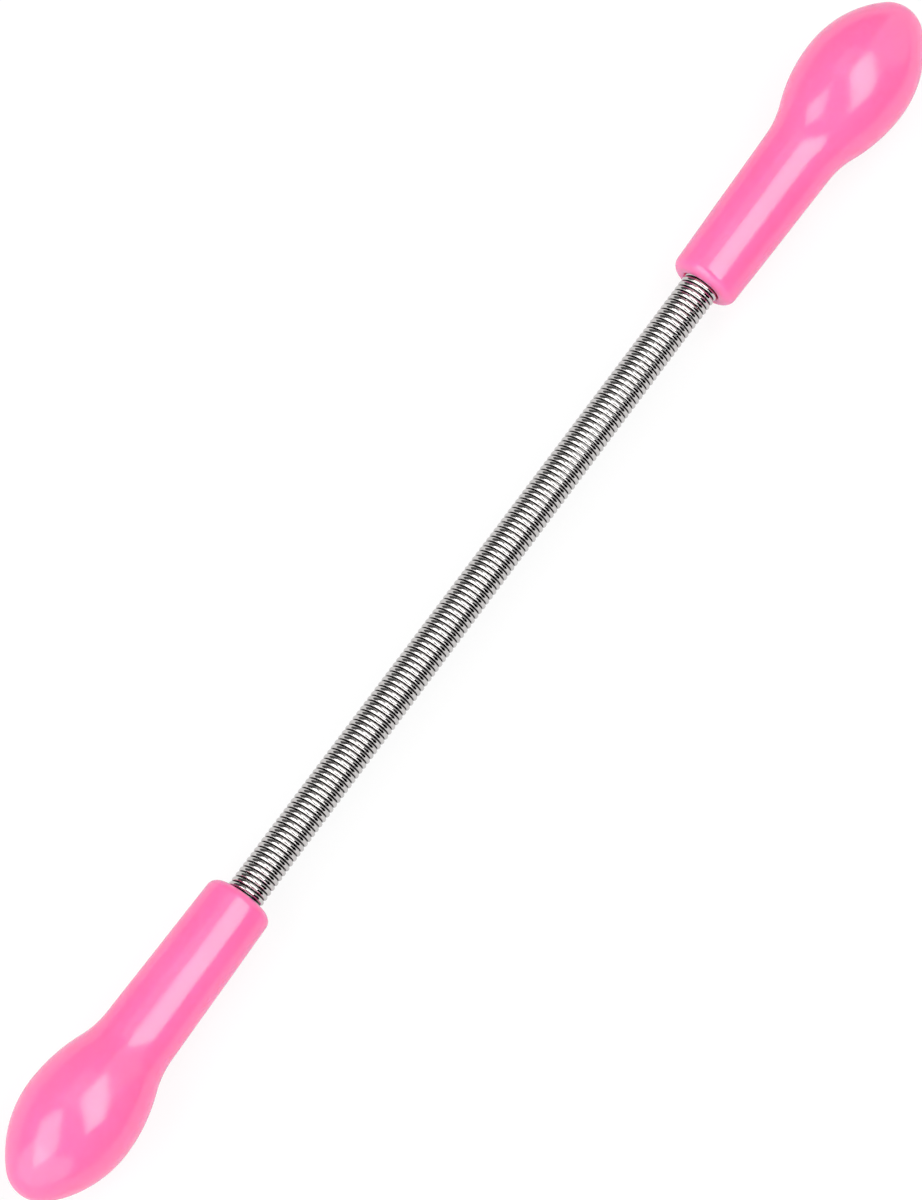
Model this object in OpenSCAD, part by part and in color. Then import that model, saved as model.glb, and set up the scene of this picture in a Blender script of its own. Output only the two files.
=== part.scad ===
// Facial hair removal spring: a close-wound coil of bright wire with a moulded handle on each end.
// The coil's axis runs along X, and the tool lies on its two bulbs on the plane z = 0.

/* [Overall] */
// Length over the two rounded tips
overall_l = 185; // [170:1:210]

/* [Handle] */
// Length of one handle, from its mouth to its tip
handle_l = 44.8; // [40:0.2:56]
// Largest diameter of the bulb
bulb_d = 14.6; // [13:0.1:18]
// Distance from the tip to the widest place of the bulb
nose_l = 11.6; // [10:0.1:14]
// Radius of the rounded tip
tip_r = 4.4; // [3:0.1:5]
// Radius of the flank from the widest place down to the neck
flank_r = 21.5; // [16:0.5:28]
// Radius of the hollow curve where the flank meets the neck
waist_r = 12; // [2:0.5:18]
// Diameter of the neck at the mouth
neck_d = 8.8; // [8:0.1:10]
// Draft of the neck on each side, in degrees
neck_draft = 1.3; // [0:0.1:2]
// Radius that rounds the outer edge of the mouth
rim_r = 1.3; // [0.5:0.1:1.4]

/* [Socket] */
// Depth of the blind hole that takes the end of the coil
socket_depth = 10; // [5:0.5:16]
// Room between the coil and the socket's wall, which the adhesive fills
glue_gap = 0.05; // [0.02:0.01:0.15]
// Room between the end of the coil and the socket's floor
floor_gap = 0.15; // [0.05:0.05:0.5]
// Radius that rounds the edge of the socket
lip_r = 0.3; // [0.1:0.05:0.35]

/* [Spring] */
// Diameter of the wire
wire_d = 0.7; // [0.6:0.05:0.8]
// Outer diameter of the coil
coil_od = 4.9; // [4:0.1:5.4]
// Gap between neighbouring turns
turn_gap = 0.05; // [0.02:0.01:0.2]

/* [Hidden] */

// Colours of the wire and of the moulded handles
wire_colour = [0.78, 0.78, 0.79];
handle_colour = [1, 0.46, 0.7];

// Facets of the handles, of one turn of the coil and of the wire's section
handle_fn = 96;
turn_fn = 48;
wire_fn = 16;
// Largest step along the outline's arcs, in degrees
arc_step = 4;

// The tool lies on its bulbs, so its axis is one bulb radius above the ground
bulb_r = bulb_d / 2;
mouth_x = overall_l / 2 - handle_l;

// Each half turn climbs by half the pitch, so it leans by this angle
coil_r = (coil_od - wire_d) / 2;
half_pitch = (wire_d + turn_gap) / 2;
lean = asin(half_pitch / (2 * coil_r));

// The coil gets as many half turns as the room between the two socket floors holds
coil_room = 2 * (mouth_x + socket_depth - floor_gap) - wire_d;
half_turns = floor(coil_room / half_pitch);
coil_start = -half_turns * half_pitch / 2;

// The mouth's wall limits the radii of its outer and inner edges
socket_r = coil_od / 2 + glue_gap;
neck_r = neck_d / 2;
mouth_wall = neck_r - socket_r;
rim_share = 0.75;
lip_share = 0.2;
rim = min(rim_r, rim_share * mouth_wall);
lip = min(lip_r, lip_share * mouth_wall);

// Outline of the handle: radius first, then the distance from the mouth
belly_y = handle_l - nose_l;
neck_way = [sin(neck_draft), cos(neck_draft)];
neck_out = [cos(neck_draft), -sin(neck_draft)];
rim_c = [neck_r + rim * (tan(neck_draft) - 1 / cos(neck_draft)), rim];
lip_c = [socket_r + lip, lip];
flank_c = [bulb_r - flank_r, belly_y];
tip_c = [0, handle_l - tip_r];

// The nose's radius is the one that touches the belly's line and the tip's arc
nose_r = ((nose_l - tip_r) ^ 2 + bulb_r ^ 2 - tip_r ^ 2) / (2 * (bulb_r - tip_r));
nose_c = [bulb_r - nose_r, belly_y];

// The waist's centre is one waist radius outside the neck's line and outside the flank's arc
waist_from = [neck_r, 0] + waist_r * neck_out;
waist_reach = (waist_from - flank_c) * neck_way;
waist_side = norm(waist_from - flank_c) ^ 2 - (flank_r + waist_r) ^ 2;
waist_c = waist_from + neck_way * (-waist_reach - sqrt(waist_reach ^ 2 - waist_side));

// Direction from one point to another, as an angle from the radius axis
function heading(from, to) = atan2(to[1] - from[1], to[0] - from[0]);

// Points of an arc, from one angle to another
function arc(centre, r, a, b) =
    let (n = max(2, ceil(abs(b - a) / arc_step)))
    [for (i = [0 : n]) let (t = a + (b - a) * i / n) centre + r * [cos(t), sin(t)]];

function handle_outline() = concat(
    [[0, socket_depth], [socket_r, socket_depth]],
    arc(lip_c, lip, 180, 270),
    arc(rim_c, rim, -90, -neck_draft),
    arc(waist_c, waist_r, 180 - neck_draft, heading(waist_c, flank_c)),
    arc(flank_c, flank_r, heading(flank_c, waist_c), 0),
    arc(nose_c, nose_r, 0, heading(nose_c, tip_c)),
    arc(tip_c, tip_r, heading(nose_c, tip_c), 90)
);

// One moulded handle: its mouth is at the origin and its tip points along +X
module handle() {
    rotate([0, 90, 0])
        rotate_extrude($fn = handle_fn)
            polygon(handle_outline());
}

// Half a turn of wire, from one side of the coil to the other, climbing along Z
module half_turn() {
    rotate([0, lean, 0])
        rotate_extrude(angle = 180, $fn = turn_fn)
            translate([coil_r, 0])
                circle(d = wire_d, $fn = wire_fn);
}

// Right-handed coil: every half turn starts on the round face where the last one ends
module coil_spring() {
    color(wire_colour)
        translate([0, 0, bulb_r])
            rotate([0, 90, 0])
                for (k = [0 : half_turns - 1])
                    translate([0, 0, coil_start + (k + 0.5) * half_pitch])
                        rotate([0, 0, 180 * k])
                            half_turn();
}

module right_handle() {
    color(handle_colour)
        translate([mouth_x, 0, bulb_r])
            handle();
}

// The same moulding as the right handle, turned round
module left_handle() {
    color(handle_colour)
        translate([-mouth_x, 0, bulb_r])
            rotate([0, 0, 180])
                handle();
}

coil_spring();
left_handle();
right_handle();
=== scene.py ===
# %% [markdown]
# A facial hair removal spring, as a lesson in modelling and finishing it in Blender. The real tool has
# three pieces: a long, close-wound coil of bright stainless wire, and a glossy pink handle on each of
# its ends. The frame that is loaded here holds the three solids at their real size, lying on the
# ground, with the coil's axis along X. The looks are built around that frame, and nothing in it is
# moved.

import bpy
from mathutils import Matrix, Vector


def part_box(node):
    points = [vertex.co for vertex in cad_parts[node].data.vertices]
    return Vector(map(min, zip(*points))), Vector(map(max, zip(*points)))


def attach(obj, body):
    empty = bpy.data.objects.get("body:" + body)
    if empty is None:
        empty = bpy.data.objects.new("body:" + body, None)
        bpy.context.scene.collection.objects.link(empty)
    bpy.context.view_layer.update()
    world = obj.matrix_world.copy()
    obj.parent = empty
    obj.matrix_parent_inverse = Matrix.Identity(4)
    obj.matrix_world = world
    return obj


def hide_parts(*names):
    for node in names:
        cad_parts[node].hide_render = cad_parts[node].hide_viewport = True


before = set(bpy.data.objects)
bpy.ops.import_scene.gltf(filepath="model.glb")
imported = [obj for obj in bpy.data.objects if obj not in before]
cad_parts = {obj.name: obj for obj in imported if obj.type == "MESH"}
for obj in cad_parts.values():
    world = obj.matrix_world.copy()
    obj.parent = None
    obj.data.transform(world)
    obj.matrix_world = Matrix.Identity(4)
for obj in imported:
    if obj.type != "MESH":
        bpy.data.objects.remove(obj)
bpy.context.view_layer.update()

# %% [markdown]
# The tools that the cells below share. Blender works in metres and this tool is small, so sizes are
# written in millimetres and multiplied by MM. Each operator acts on all that is selected, so a new
# piece always starts from an empty selection.

# %% Shared helpers
from math import atan2, ceil, cos, pi, radians, sin, sqrt, tan

import bpy
import numpy as np
from mathutils import Matrix, Vector

MM = 0.001


def only(piece):
    """Make one piece the active one, with nothing else selected."""
    if bpy.context.object and bpy.context.object.mode != "OBJECT":
        bpy.ops.object.mode_set(mode="OBJECT")
    bpy.ops.object.select_all(action="DESELECT")
    piece.select_set(True)
    bpy.context.view_layer.objects.active = piece


def settle(piece):
    """Put a piece's place into its mesh, so that the object itself sits at the origin, unturned."""
    only(piece)
    bpy.ops.object.transform_apply(location=True, rotation=True, scale=True)


def triangles(piece):
    """Number of triangles in a piece."""
    return sum(len(face.vertices) - 2 for face in piece.data.polygons)


print("helpers ready")

# %% [markdown]
# The boxes of the solids give some of the driving sizes: where the handle's mouth and tip are, how wide
# the coil is, and the radius of the bulb, which is also how high the axis lies above the ground. The
# other sizes are typed in where they are used, and they are the same as those of the solids.

# %% Sizes from the frame
right_low, right_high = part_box("right_handle")
coil_low, coil_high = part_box("coil_spring")

COIL_D = coil_high.y - coil_low.y
MOUTH_X = right_low.x
HANDLE_L = right_high.x - right_low.x
BULB_R = (right_high.y - right_low.y) / 2
AXIS_Z = BULB_R
print(f"mouths at {MOUTH_X / MM:.1f} mm, handles {HANDLE_L / MM:.1f} mm long,",
      f"bulbs {2 * BULB_R / MM:.1f} mm wide")

# %% [markdown]
# The outline of the handle is drawn the way a mould maker would draw it: straight lines and arcs that
# touch each other. From the mouth it goes round the rim, along the drafted neck, through a wide hollow
# curve at the waist, up the long flank to the widest place, and round the nose to a small arc at the
# tip. The radius of the nose and the middle of the waist's arc aren't chosen, they follow from where
# the arcs have to touch.

# %% Outline of the handle
NOSE_L = 11.6 * MM
TIP_R = 4.4 * MM
FLANK_R = 21.5 * MM
WAIST_R = 12 * MM
NECK_R = 4.4 * MM
NECK_DRAFT = radians(1.3)
RIM_R = 1.3 * MM
SOCKET_R = 2.5 * MM
SOCKET_DEPTH = 10 * MM
LIP_R = 0.3 * MM
EDGE_STEP = radians(9)
BODY_STEP = radians(1.5)
TIP_STEP = radians(3)
NECK_STEPS = 12


def arc(centre, radius, start, end, step):
    """Points of an arc, as (distance from the axis, distance from the mouth)."""
    count = max(2, ceil(abs(end - start) / step))
    angles = [start + (end - start) * i / count for i in range(count + 1)]
    return [centre + radius * Vector((cos(a), sin(a))) for a in angles]


def heading(start, end):
    """Angle of the way from one point to another."""
    way = end - start
    return atan2(way.y, way.x)


def handle_outline():
    """The outline from the middle of the socket's floor, round the mouth, to the tip."""
    belly = HANDLE_L - NOSE_L
    way = Vector((sin(NECK_DRAFT), cos(NECK_DRAFT)))
    out = Vector((cos(NECK_DRAFT), -sin(NECK_DRAFT)))
    rim = Vector((NECK_R + RIM_R * (tan(NECK_DRAFT) - 1 / cos(NECK_DRAFT)), RIM_R))
    lip = Vector((SOCKET_R + LIP_R, LIP_R))
    flank = Vector((BULB_R - FLANK_R, belly))
    tip = Vector((0, HANDLE_L - TIP_R))
    nose_r = ((NOSE_L - TIP_R) ** 2 + BULB_R**2 - TIP_R**2) / (2 * (BULB_R - TIP_R))
    nose = Vector((BULB_R - nose_r, belly))
    start = Vector((NECK_R, 0)) + WAIST_R * out
    reach = (start - flank).dot(way)
    side = (start - flank).length_squared - (FLANK_R + WAIST_R) ** 2
    waist = start + way * (-reach - sqrt(reach**2 - side))
    neck_foot = rim + RIM_R * out
    neck_top = waist - WAIST_R * out
    neck = [neck_foot.lerp(neck_top, i / NECK_STEPS) for i in range(1, NECK_STEPS)]
    points = [Vector((0, SOCKET_DEPTH)), Vector((SOCKET_R, SOCKET_DEPTH))]
    points += arc(lip, LIP_R, pi, 1.5 * pi, EDGE_STEP)
    points += arc(rim, RIM_R, -pi / 2, -NECK_DRAFT, EDGE_STEP)
    points += neck
    points += arc(waist, WAIST_R, pi - NECK_DRAFT, heading(waist, flank), BODY_STEP)
    points += arc(flank, FLANK_R, heading(flank, waist), 0, BODY_STEP)[1:]
    points += arc(nose, nose_r, 0, heading(nose, tip), BODY_STEP)[1:]
    points += arc(tip, TIP_R, heading(nose, tip), pi / 2, TIP_STEP)[1:]
    points[-1].x = 0
    return points


outline = handle_outline()
print(f"the outline has {len(outline)} points,",
      f"and its widest is {2 * max(p.x for p in outline) / MM:.2f} mm")

# %% [markdown]
# The handle is a turned shape, so it is made as on a lathe. One vertex is set on the axis at the
# socket's floor and pulled out, point by point, along the outline. The chain is then spun once round
# the axis. Extruding rings from a circle would do as well, but a chain keeps both poles in one place,
# where a merge closes them. The spin runs round the Z axis, and the handle is laid along X afterwards.

# %% Turn the handle
SPIN_STEPS = 112
POLE_GAP = 0.001 * MM
SHARP_EDGE = radians(50)


def outline_chain(name, points):
    """A chain of edges along the outline, drawn by extruding one vertex again and again."""
    bpy.ops.object.select_all(action="DESELECT")
    bpy.ops.mesh.primitive_plane_add(size=MM)
    chain = bpy.context.object
    chain.name = chain.data.name = name
    bpy.ops.object.mode_set(mode="EDIT")
    bpy.ops.mesh.select_mode(type="VERT")
    bpy.ops.mesh.merge(type="CENTER")
    here = Vector((0, 0, 0))
    for number, point in enumerate(points):
        there = Vector((point.x, 0, point.y))
        if number == 0:
            bpy.ops.transform.translate(value=there - here)
        else:
            bpy.ops.mesh.extrude_vertices_move(TRANSFORM_OT_translate={"value": there - here})
        here = there
    return chain


def turned_handle(name):
    """A handle that stands on its mouth at the origin, with its tip up."""
    handle = outline_chain(name, outline)
    bpy.ops.mesh.select_all(action="SELECT")
    bpy.ops.mesh.spin(steps=SPIN_STEPS, angle=2 * pi, center=(0, 0, 0), axis=(0, 0, 1))
    bpy.ops.mesh.select_all(action="SELECT")
    bpy.ops.mesh.remove_doubles(threshold=POLE_GAP)
    bpy.ops.mesh.normals_make_consistent(inside=False)
    bpy.ops.object.mode_set(mode="OBJECT")
    return handle


right_handle = turned_handle("right_handle_skin")
print(f"one handle has {triangles(right_handle)} triangles")

# %% [markdown]
# A cheap moulding is never quite true: its walls shrink unevenly as it cools, and a highlight along the
# neck shows that as a slightly wavering edge. A Displace modifier with a large, soft cloud moves the
# skin inwards by up to a few hundredths of a millimetre, and it is applied, so that the mesh itself has
# the form. A bump in the material would bend the highlight too, but not the outline.

# %% Uneven walls
WALL_WAVER = 0.05 * MM
WAVER_SIZE = 9 * MM

shrinkage = bpy.data.textures.new("uneven_shrinkage", "CLOUDS")
shrinkage.noise_scale = WAVER_SIZE
shrinkage.noise_depth = 0


def lay_along_x(handle, mouth, turn):
    """Lay a standing handle along X with its mouth at a place, turned about Z."""
    turned = Matrix.Rotation(turn, 4, "Z") @ Matrix.Rotation(pi / 2, 4, "Y")
    handle.matrix_world = Matrix.Translation((mouth, 0, AXIS_Z)) @ turned
    settle(handle)


def waver(handle):
    """Move the skin of a handle inwards by a soft cloud, and apply it."""
    only(handle)
    displace = handle.modifiers.new("uneven_walls", "DISPLACE")
    displace.texture = shrinkage
    displace.texture_coords = "LOCAL"
    displace.strength = WALL_WAVER
    displace.mid_level = 1
    bpy.ops.object.modifier_apply(modifier=displace.name)
    bpy.ops.object.shade_smooth_by_angle(angle=SHARP_EDGE)


left_handle = right_handle.copy()
left_handle.data = right_handle.data.copy()
left_handle.name = left_handle.data.name = "left_handle_skin"
bpy.context.scene.collection.objects.link(left_handle)
lay_along_x(right_handle, MOUTH_X, 0)
lay_along_x(left_handle, -MOUTH_X, pi)
for handle in (right_handle, left_handle):
    waver(handle)
    print(handle.name, "reaches from", round(min(v.co.x for v in handle.data.vertices) / MM, 2),
          "to", round(max(v.co.x for v in handle.data.vertices) / MM, 2), "mm")

# %% [markdown]
# The coil is one wire wound on a mandrel. A circle of the wire's size is set beside the axis and a
# Screw modifier carries it round and along, which is what a winding machine does. Both ends of the wire
# are cut square and closed. The turns are close together but not tight: the small gap is what opens and
# shuts on a hair.

# %% Wind the coil
WIRE_R = 0.35 * MM
PITCH = 0.75 * MM
HALF_TURNS = 305
WIRE_SIDES = 12
STEPS_A_TURN = 50
COIL_R = COIL_D / 2 - WIRE_R
COIL_L = HALF_TURNS * PITCH / 2


def wound_coil(name):
    """The coil along X: a right-handed helix that starts below the axis at the left end."""
    bpy.ops.object.select_all(action="DESELECT")
    bpy.ops.mesh.primitive_circle_add(vertices=WIRE_SIDES, radius=WIRE_R, fill_type="NOTHING")
    coil = bpy.context.object
    coil.name = coil.data.name = name
    bpy.ops.object.mode_set(mode="EDIT")
    bpy.ops.mesh.select_all(action="SELECT")
    bpy.ops.transform.rotate(value=pi / 2, orient_axis="X", center_override=(0, 0, 0))
    bpy.ops.transform.translate(value=(COIL_R, 0, -COIL_L / 2))
    bpy.ops.object.mode_set(mode="OBJECT")
    winding = coil.modifiers.new("winding", "SCREW")
    winding.axis = "Z"
    winding.angle = HALF_TURNS * pi
    winding.screw_offset = COIL_L
    winding.steps = winding.render_steps = HALF_TURNS * STEPS_A_TURN // 2
    bpy.ops.object.modifier_apply(modifier=winding.name)
    bpy.ops.object.mode_set(mode="EDIT")
    bpy.ops.mesh.select_all(action="DESELECT")
    bpy.ops.mesh.select_non_manifold()
    bpy.ops.mesh.fill_holes(sides=WIRE_SIDES)
    bpy.ops.mesh.select_all(action="SELECT")
    bpy.ops.mesh.normals_make_consistent(inside=False)
    bpy.ops.object.mode_set(mode="OBJECT")
    coil.matrix_world = Matrix.Translation((0, 0, AXIS_Z)) @ Matrix.Rotation(pi / 2, 4, "Y")
    settle(coil)
    bpy.ops.object.shade_smooth_by_angle(angle=SHARP_EDGE)
    return coil


coil = wound_coil("coil_spring_wire")
print(f"the coil has {HALF_TURNS / 2} turns and {triangles(coil)} triangles")

# %% [markdown]
# Drawn wire has fine lines along its length, left by the die. For the finish to follow them round every
# turn, each vertex carries its place on the wire: two numbers say where it is on the wire's section,
# and the third how far along the wire it lies. They are worked out from the vertex's own position on
# the helix.

# %% Place on the wire
def store_wire_place(piece):
    """Give each vertex the attribute wire_place, in millimetres, and return the wire's length."""
    count = len(piece.data.vertices)
    co = np.empty(count * 3)
    piece.data.vertices.foreach_get("co", co)
    x, y, z = co.reshape(-1, 3).T
    z = z - AXIS_Z
    turn = np.arctan2(y, -z) / (2 * pi)
    along = (x + COIL_L / 2) / PITCH
    turns = turn + np.round(along - turn)
    section = np.arctan2(along * PITCH - turns * PITCH, np.hypot(y, z) - COIL_R)
    place = np.column_stack((
        WIRE_R / MM * np.cos(section),
        WIRE_R / MM * np.sin(section),
        turns * 2 * pi * COIL_R / MM,
    ))
    attribute = piece.data.attributes.new("wire_place", "FLOAT_VECTOR", "POINT")
    attribute.data.foreach_set("vector", place.astype(np.float32).ravel())
    return turns.max() * sqrt((2 * pi * COIL_R) ** 2 + PITCH**2)


print(f"the wire is {store_wire_place(coil):.2f} m long")

# %% [markdown]
# Finishes are made from nodes. Each one here starts from a Principled shader, with what is the same all
# over typed into its sockets, and what varies linked in. A short helper adds a node and links its
# inputs, so that each finish reads from its pattern to its shader.

# %% Node helpers
PATTERN_LOW = 0.3
PATTERN_HIGH = 0.7


def add(tree, kind, inputs):
    """Add a node. An input is linked where its value is another node's socket, or else set to the value."""
    node = tree.nodes.new(kind)
    for name, value in inputs.items():
        if isinstance(value, bpy.types.NodeSocket):
            tree.links.new(value, node.inputs[name])
        else:
            node.inputs[name].default_value = value
    return node


def new_material(name):
    """A material with nothing but an output in its node tree."""
    material = bpy.data.materials.new(name)
    material.use_nodes = True
    material.node_tree.nodes.clear()
    return material, material.node_tree, material.node_tree.nodes.new("ShaderNodeOutputMaterial")


def spread(tree, pattern, low, high):
    """Map the middle range of a noise pattern to a range of values."""
    ranges = add(tree, "ShaderNodeMapRange", {
        "Value": pattern, "From Min": PATTERN_LOW, "From Max": PATTERN_HIGH, "To Min": low, "To Max": high,
    })
    return ranges.outputs["Result"]


def tint(tree, pattern, first, second):
    """Map the middle range of a noise pattern to the colours between two."""
    ramp = add(tree, "ShaderNodeValToRGB", {"Fac": pattern})
    for stop, place, colour in zip(ramp.color_ramp.elements, (PATTERN_LOW, PATTERN_HIGH), (first, second)):
        stop.position = place
        stop.color = colour
    return ramp.outputs["Color"]


def by_ray(tree, base, changes):
    """A value that differs by the kind of ray: the base, and what each kind adds to it."""
    path = tree.nodes.new("ShaderNodeLightPath")
    total = base
    for kind, change in changes.items():
        part = add(tree, "ShaderNodeMath", {0: path.outputs[kind], 1: change, 2: total})
        part.operation = "MULTIPLY_ADD"
        total = part.outputs["Value"]
    return total


print("node helpers ready")

# %% [markdown]
# The handles are a soft-looking, glossy plastic. Light goes a little way into it, so its edges stay
# warm and pale instead of dark, which is what subsurface does. Its own gloss is enough for the
# soft-edged reflections of the lamps, so it gets no clear coat, and it is tinted a little, because the
# photograph shows the highlights warm. The colour drifts very slightly, as pigment does in a moulding,
# and a faint, fine bump stands for the grain of the mould's polish.

# %% Pink plastic
PINK = (0.98, 0.16, 0.405, 1)
PALER_PINK = (0.98, 0.175, 0.425, 1)
WARM_GLOSS = (1, 1, 0.82, 1)
PLASTIC_ROUGHNESS = 0.155, 0.205
PIGMENT_SCALE, RUBBED_SCALE, GRAIN_SCALE = 90, 260, 2600
GRAIN_STRENGTH = 0.03
GRAIN_HEIGHT = 0.1 * MM


def pink_plastic():
    material, tree, output = new_material("pink_plastic")
    place = tree.nodes.new("ShaderNodeTexCoord").outputs["Object"]
    drift = add(tree, "ShaderNodeTexNoise", {"Vector": place, "Scale": PIGMENT_SCALE, "Detail": 2})
    rubbed = add(tree, "ShaderNodeTexNoise", {"Vector": place, "Scale": RUBBED_SCALE, "Detail": 4})
    grain = add(tree, "ShaderNodeTexNoise", {"Vector": place, "Scale": GRAIN_SCALE, "Detail": 3})
    bump = add(tree, "ShaderNodeBump", {
        "Height": grain.outputs["Fac"], "Strength": GRAIN_STRENGTH, "Distance": GRAIN_HEIGHT,
    })
    shader = add(tree, "ShaderNodeBsdfPrincipled", {
        "Base Color": tint(tree, drift.outputs["Fac"], PINK, PALER_PINK),
        "Roughness": spread(tree, rubbed.outputs["Fac"], *PLASTIC_ROUGHNESS),
        "IOR": 1.6,
        "Specular Tint": WARM_GLOSS,
        "Subsurface Weight": 0.7,
        "Subsurface Radius": (1.0, 0.45, 0.35),
        "Subsurface Scale": 3 * MM,
        "Normal": bump.outputs["Normal"],
    })
    tree.links.new(shader.outputs["BSDF"], output.inputs["Surface"])
    return material


plastic = pink_plastic()
for handle in (right_handle, left_handle):
    handle.data.materials.clear()
    handle.data.materials.append(plastic)
print("the handles are", plastic.name)

# %% [markdown]
# Bright drawn stainless wire is a mirror with faint lines along it. The noise is read at each vertex's
# place on the wire, squeezed along the wire, so that it draws long thin streaks. They vary the
# roughness a little and raise a very low bump. On the flanks, where each turn faces the next, the
# colour is darkened as painted shade, which deepens the dark lines between the turns. The first number
# of a vertex's place tells how far it stands out from the middle of the wire, and so where that painted
# shade is.

# %% Bright wire
STEEL = (0.68, 0.66, 0.65, 1)
DULLER_STEEL = (0.6, 0.58, 0.57, 1)
WIRE_ROUGHNESS = 0.07, 0.12
STREAKS = (9, 9, 0.35)
STREAK_STRENGTH = 0.03
STREAK_HEIGHT = 0.02 * MM
# Painted shade on the wire's flanks between the turns: where it is full, where it ends, and how dark it
# gets
PAINTED_SHADE_EDGE, UNSHADED_EDGE = 0.14, 0.22
PAINTED_SHADE_SHARE = 0.1


def bright_wire():
    material, tree, output = new_material("bright_wire")
    place = tree.nodes.new("ShaderNodeAttribute")
    place.attribute_name = "wire_place"
    squeeze = add(tree, "ShaderNodeMapping", {"Vector": place.outputs["Vector"], "Scale": STREAKS})
    lines = add(tree, "ShaderNodeTexNoise", {"Vector": squeeze.outputs["Vector"], "Scale": 1, "Detail": 3})
    bump = add(tree, "ShaderNodeBump", {
        "Height": lines.outputs["Fac"], "Strength": STREAK_STRENGTH, "Distance": STREAK_HEIGHT,
    })
    outward = add(tree, "ShaderNodeSeparateXYZ", {"Vector": place.outputs["Vector"]}).outputs["X"]
    # Painted shade: the colour is darkened on the flanks, where each turn faces the next, so the lines
    # between the turns look darker
    painted_shade = add(tree, "ShaderNodeMapRange", {
        "Value": outward, "From Min": PAINTED_SHADE_EDGE, "From Max": UNSHADED_EDGE, "To Min": PAINTED_SHADE_SHARE, "To Max": 1,
    })
    steel = tint(tree, lines.outputs["Fac"], STEEL, DULLER_STEEL)
    # Until the node is set to scale, its factor isn't found by name, so both inputs go by their number
    colour = add(tree, "ShaderNodeVectorMath", {0: steel, 3: painted_shade.outputs["Result"]})
    colour.operation = "SCALE"
    shader = add(tree, "ShaderNodeBsdfPrincipled", {
        "Base Color": colour.outputs["Vector"],
        "Metallic": 1,
        "Roughness": spread(tree, lines.outputs["Fac"], *WIRE_ROUGHNESS),
        "Normal": bump.outputs["Normal"],
    })
    tree.links.new(shader.outputs["BSDF"], output.inputs["Surface"])
    return material


wire = bright_wire()
coil.data.materials.clear()
coil.data.materials.append(wire)
print("the coil is", wire.name)

# %% [markdown]
# Each finished piece now takes the place of its solid and rides on the one body that the tool has. The
# table also lists the record's material slot that each belongs to, which nothing here uses.

# %% Take the places of the solids
for piece, node, slot in (
    (coil, "coil_spring", "spring_wire"),
    (left_handle, "left_handle", "handle_plastic"),
    (right_handle, "right_handle", "handle_plastic"),
):
    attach(piece, "root")
    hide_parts(node)
    print(piece.name, "stands for", node)

# %% [markdown]
# The camera looks down on the tool from close to overhead. The photograph gives its place: the far bulb
# and the turns near it look smaller than the near ones, which sets how far away the camera is and how
# much the tool leans away from it. The tool isn't quite in the middle of the photograph, so the camera
# stands a little aside, and it is rolled by a fraction of a degree.

# %% Camera
PHOTO_W, PHOTO_H = 922, 1200
CAMERA_AZIMUTH = radians(-54.5)
CAMERA_ELEVATION = radians(73.4)
CAMERA_DISTANCE = 950 * MM
FOCAL_PX = 7816
SENSOR_W = 36
CLIP_START = 10 * MM
CENTRE_PX = Vector((474.2, 589))
CAMERA_ROLL = radians(0.18)

centre = Vector((0, 0, AXIS_Z))
back = Vector((
    sin(CAMERA_AZIMUTH) * cos(CAMERA_ELEVATION),
    -cos(CAMERA_AZIMUTH) * cos(CAMERA_ELEVATION),
    sin(CAMERA_ELEVATION),
))
right = Matrix.Rotation(CAMERA_ROLL, 3, back) @ Vector((0, 0, 1)).cross(back).normalized()
up = back.cross(right)
px = CAMERA_DISTANCE / FOCAL_PX
aside = (CENTRE_PX.x - PHOTO_W / 2) * px * right - (CENTRE_PX.y - PHOTO_H / 2) * px * up

camera_data = bpy.data.cameras.new("camera")
camera_data.sensor_width = SENSOR_W
camera_data.lens = FOCAL_PX / PHOTO_H * SENSOR_W
camera_data.clip_start = CLIP_START
camera = bpy.data.objects.new("camera", camera_data)
bpy.context.scene.collection.objects.link(camera)
camera.matrix_world = Matrix.Translation(centre + back * CAMERA_DISTANCE - aside) @ Matrix(
    (right, up, back)
).transposed().to_4x4()
bpy.context.scene.camera = camera
print(f"the lens is {camera_data.lens:.0f} mm, {CAMERA_DISTANCE:.2f} m away")

# %% [markdown]
# The floor is a plain white sheet. A part of what the camera and the reflections see of it is plain
# white, as on a light table, so that the shadow stays but is soft. The reflections get a little less,
# as the real sheet falls off towards its far edge.

# %% Floor
FLOOR_SIZE = 6
FLOOR_COLOUR = (0.93, 0.93, 0.93, 1)
FLOOR_ROUGHNESS = 0.7
GLOW_SHARES = {"Is Camera Ray": 0.85, "Is Glossy Ray": 0.6, "Is Transmission Ray": 0.8}
GLOW = 1
LESS_GLOW = {"Is Glossy Ray": -0.3}


def floor_finish():
    material, tree, output = new_material("white_floor")
    matt = add(tree, "ShaderNodeBsdfPrincipled", {
        "Base Color": FLOOR_COLOUR, "Roughness": FLOOR_ROUGHNESS,
    })
    glow = add(tree, "ShaderNodeEmission", {"Strength": by_ray(tree, GLOW, LESS_GLOW)})
    mixed = add(tree, "ShaderNodeMixShader", {
        "Fac": by_ray(tree, 0, GLOW_SHARES), 1: matt.outputs["BSDF"], 2: glow.outputs["Emission"],
    })
    tree.links.new(mixed.outputs["Shader"], output.inputs["Surface"])
    return material


bpy.ops.object.select_all(action="DESELECT")
bpy.ops.mesh.primitive_plane_add(size=FLOOR_SIZE)
floor = bpy.context.object
floor.name = "floor"
floor.data.materials.append(floor_finish())
print("the floor is", FLOOR_SIZE, "m wide")

# %% [markdown]
# Two large soft boxes stand on either side of the camera, as over a copy stand. Where each one is can
# be read from its reflections: the one on the right draws the long strip down each neck and one of the
# two soft patches on each bulb, and the one on the left draws the other patch. So each place is given
# as the picture shows it, in degrees to the right of the camera and above it. The room round them fills
# the shadows a little. It is white behind the tool and dim in the reflections, which keeps the dark
# sides of the coil's turns dark.

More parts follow.
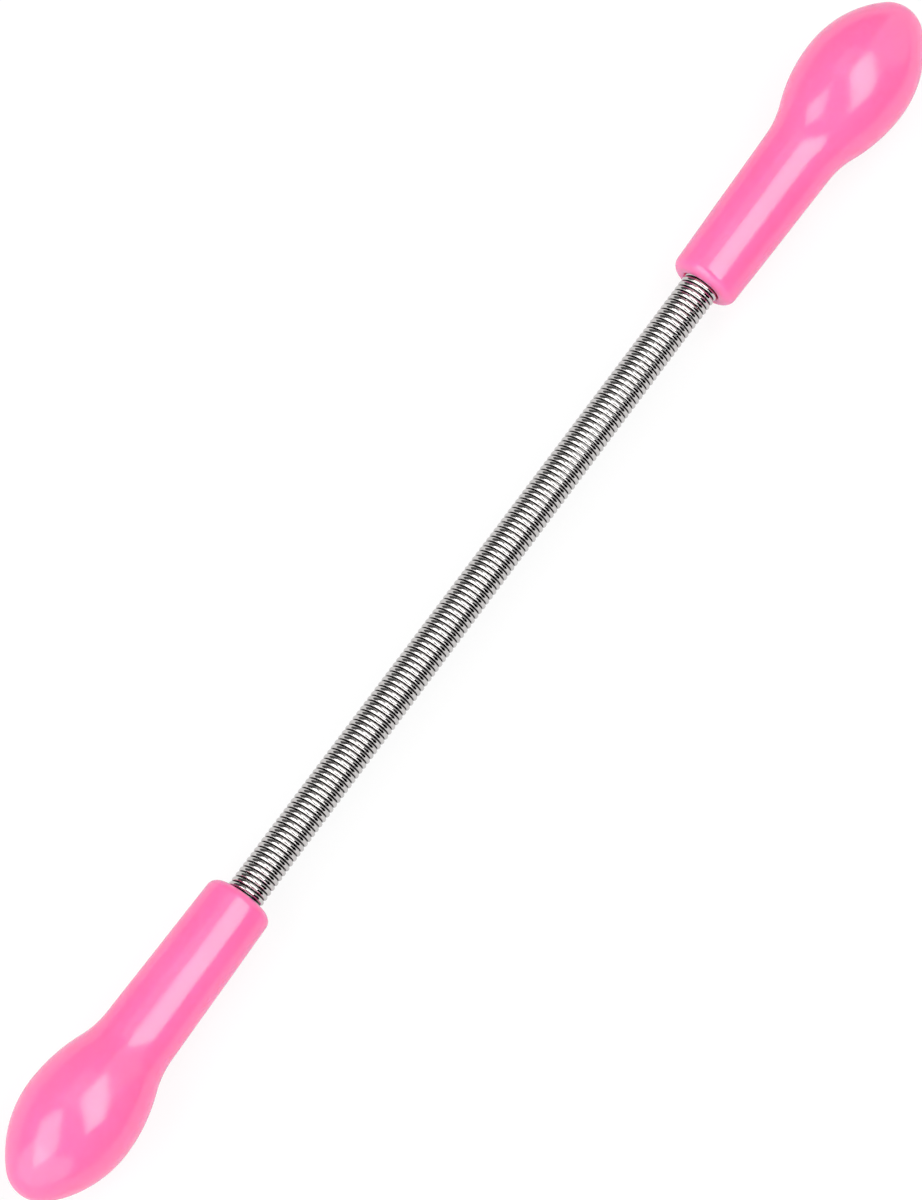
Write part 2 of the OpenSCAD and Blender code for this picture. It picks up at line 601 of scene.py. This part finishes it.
# %% Lamps and room
LAMP_DISTANCE = 1.7
KEY = {"across": 26, "above": 14, "width": 27, "height": 56, "lean": 27, "level": 4.15}
FILL = {"across": -34, "above": -3, "width": 36, "height": 52, "lean": 15, "level": 3.5}
ROOM_FILL = 0.4
ROOM_CHANGES = {"Is Camera Ray": 0.6, "Is Glossy Ray": -0.3}


def way_to(across, above):
    """Direction that lies some degrees to the right of the camera and above it, as seen from the tool."""
    off = radians(sqrt(across**2 + above**2))
    turn = atan2(above, across)
    return sin(off) * (cos(turn) * right + sin(turn) * up) + cos(off) * back


def soft_box(name, across, above, width, height, lean, level):
    """A rectangular lamp that faces the tool. Its sizes are angles, and level 1 is as bright as white."""
    lamp_data = bpy.data.lights.new(name, "AREA")
    lamp_data.shape = "RECTANGLE"
    lamp_data.size = 2 * LAMP_DISTANCE * tan(radians(width / 2))
    lamp_data.size_y = 2 * LAMP_DISTANCE * tan(radians(height / 2))
    lamp_data.energy = level * pi * lamp_data.size * lamp_data.size_y
    lamp = bpy.data.objects.new(name, lamp_data)
    bpy.context.scene.collection.objects.link(lamp)
    way = way_to(across, above)
    top = cos(radians(lean)) * up - sin(radians(lean)) * right
    side = top.cross(way).normalized()
    lamp.matrix_world = Matrix.Translation(centre + way * LAMP_DISTANCE) @ Matrix(
        (side, way.cross(side), way)
    ).transposed().to_4x4()
    lamp.visible_camera = False


for name, lamp in (("key_lamp", KEY), ("fill_lamp", FILL)):
    soft_box(name, **lamp)

room = bpy.data.worlds.new("room")
bpy.context.scene.world = room
room.use_nodes = True
room.node_tree.nodes.clear()
air = add(room.node_tree, "ShaderNodeBackground", {
    "Color": (1, 1, 1, 1), "Strength": by_ray(room.node_tree, ROOM_FILL, ROOM_CHANGES),
})
room_output = room.node_tree.nodes.new("ShaderNodeOutputWorld")
room.node_tree.links.new(air.outputs["Background"], room_output.inputs["Surface"])
bpy.context.scene.view_settings.view_transform = "Standard"
print("the lamps are", LAMP_DISTANCE, "m away, and the room's fill is", ROOM_FILL)

# %% [markdown]
# Polished wire is only as bright as what it mirrors, so the coil shows what stood round it in the
# studio. It is white over the tool and past both of its ends, brightest past the left one, and black on
# the right, beyond the lamp and down to the floor. On the left the dim room is enough. Flat cards stand
# for all the rest. They are seen by reflections alone: they throw no shadow, give no light and aren't
# in the picture. Each one is given by how bright it is and by where it reaches from and to, in metres
# along X, Y and Z. One of the three is a single place. The right side of the picture is minus Y.

# %% Cards
CARDS = (
    ("white_sheet", 0.9, (0.2, 1.9), (-2.9, 2.4), (3, 3)),
    ("white_wall", 0.9, (1.9, 1.9), (-2.9, 0.5), (0, 3)),
    ("pale_wall", 1.9, (-2, -2), (-3, 2), (0, 2)),
    ("black_card", 0, (-1.5, 1.9), (-2.1, -2.1), (0, 1.9)),
    ("black_cloth", 0, (-1.5, 1.9), (-2.1, -0.06), (0.001, 0.001)),
)


def card(name, level, *spans):
    """A flat card that only reflections see, as bright as level times white."""
    middle = Vector([(low + high) / 2 for low, high in spans])
    axes = zip(Matrix.Identity(3), spans)
    sides = [Vector(way) * (high - low) for way, (low, high) in axes if high > low]
    bpy.ops.object.select_all(action="DESELECT")
    bpy.ops.mesh.primitive_plane_add(size=1)
    sheet = bpy.context.object
    sheet.name = name
    sheet.matrix_world = Matrix.Translation(middle) @ Matrix(
        (sides[0], sides[1], sides[0].cross(sides[1]).normalized())
    ).transposed().to_4x4()
    settle(sheet)
    material, tree, output = new_material(name)
    flat = add(tree, "ShaderNodeEmission", {"Strength": level})
    tree.links.new(flat.outputs["Emission"], output.inputs["Surface"])
    sheet.data.materials.append(material)
    sheet.visible_camera = sheet.visible_diffuse = sheet.visible_shadow = False
    sheet.visible_transmission = False


for details in CARDS:
    card(*details)
print("the cards are", [details[0] for details in CARDS])
